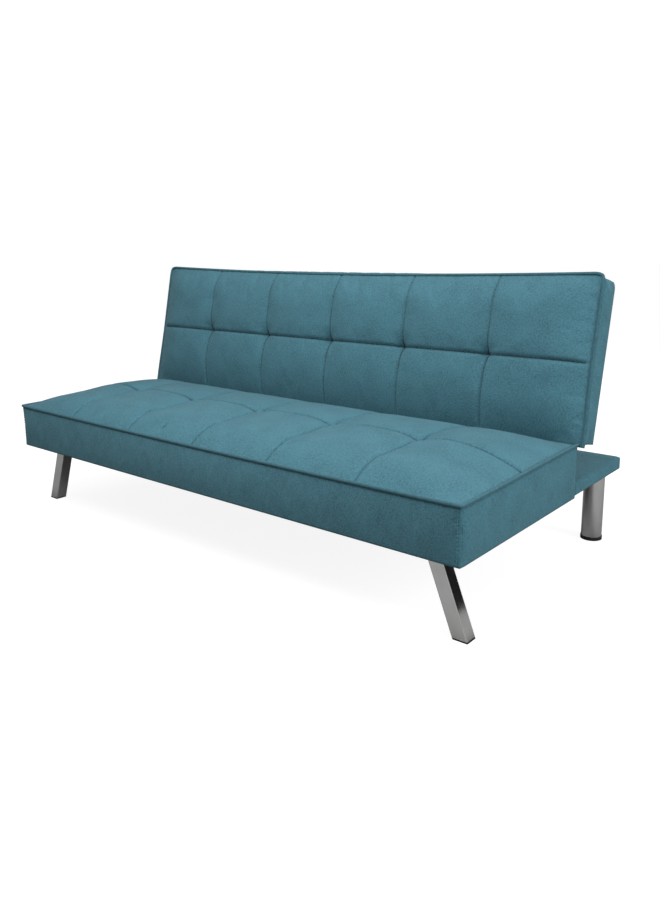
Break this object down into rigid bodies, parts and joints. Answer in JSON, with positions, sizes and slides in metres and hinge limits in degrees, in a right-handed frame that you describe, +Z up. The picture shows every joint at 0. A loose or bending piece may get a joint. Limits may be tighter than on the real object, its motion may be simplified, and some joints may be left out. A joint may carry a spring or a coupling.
{
  "type": "futon sofa bed",
  "caption": "Armless click-clack sofa bed with a quilted one-piece seat and fold-flat back, a low padded rear deck, splayed square front legs and round rear legs.",
  "frame": {"origin": "on the floor, under the middle of the footprint", "axes": "+Z up; +X to the left hand of someone who sits on it, along the sofa's length; the sitter faces -Y and the deck is at +Y"},
  "size_m": [1.75, 0.947, 0.8],
  "materials": {
    "teal_cloth": "fine plain weave with a soft sheen",
    "piping_cloth": "the cover cloth on a cord",
    "foam": "open-cell foam",
    "black_cloth": "needled felt and spun dust cloth",
    "webbing": "elastic webbing",
    "timber": "planed softwood",
    "hardboard": "pressed board",
    "chrome": "bright plated",
    "black_plastic": "moulded, fine grain",
    "spring_steel": "oil-tempered wire",
    "zinc_steel": "zinc plated",
    "hinge_steel": "black lacquer"
  },
  "bodies": {
    "base": {"side_board_right": "timber", "side_board_left": "timber", "centre_board": "timber", "seat_front_rail": "timber", "seat_rear_rail": "timber", "deck_rear_rail": "timber", "front_leg_blocks": "timber", "rear_leg_blocks": "timber", "seat_springs": "spring_steel", "seat_spring_clips": "spring_steel", "seat_felt": "black_cloth", "seat_foam": "foam", "seat_top_cover": "teal_cloth", "seat_boxing": "teal_cloth", "seat_piping": "piping_cloth", "seat_dust_cloth": "black_cloth", "deck_panel": "hardboard", "deck_pad": "foam", "deck_cover": "teal_cloth", "front_leg_right": "chrome", "front_leg_left": "chrome", "front_leg_caps": "black_plastic", "front_leg_screws": "zinc_steel", "rear_leg_right": "chrome", "rear_leg_left": "chrome", "rear_leg_feet": "black_plastic", "rear_leg_studs": "zinc_steel", "hinge_plate_right": "hinge_steel", "hinge_plate_left": "hinge_steel", "hinge_plate_screws": "zinc_steel", "hinge_pins": "zinc_steel", "pawl_pins": "zinc_steel", "pawl_coils": "spring_steel"},
    "backrest": {"back_top_rail": "timber", "back_end_rail": "timber", "back_stile_right": "timber", "back_stile_left": "timber", "back_mid_stiles": "timber", "back_webbing": "webbing", "back_foam": "foam", "back_front_cover": "teal_cloth", "back_boxing": "teal_cloth", "back_rear_cloth": "teal_cloth", "back_piping": "piping_cloth", "hinge_arm_right": "hinge_steel", "hinge_arm_left": "hinge_steel", "hinge_arm_screws": "zinc_steel"},
    "pawl_right": {"pawl_right": "hinge_steel"},
    "pawl_left": {"pawl_left": "hinge_steel"}
  },
  "joints": [
    {"name": "backrest_recline", "type": "hinge", "parent": "base", "child": "backrest", "pos_m": [0, 0.147, 0.336], "axis": [-1, 0, 0], "range_deg": [-10, 77.6]},
    {"name": "pawl_lift_right", "type": "hinge", "parent": "base", "child": "pawl_right", "pos_m": [0.8423, 0.138, 0.287], "axis": [1, 0, 0], "range_deg": [0, 6], "stiffness_Nm_per_rad": 0.05},
    {"name": "pawl_lift_left", "type": "hinge", "parent": "base", "child": "pawl_left", "pos_m": [-0.8423, 0.138, 0.287], "axis": [1, 0, 0], "range_deg": [0, 6], "stiffness_Nm_per_rad": 0.05}
  ]
}
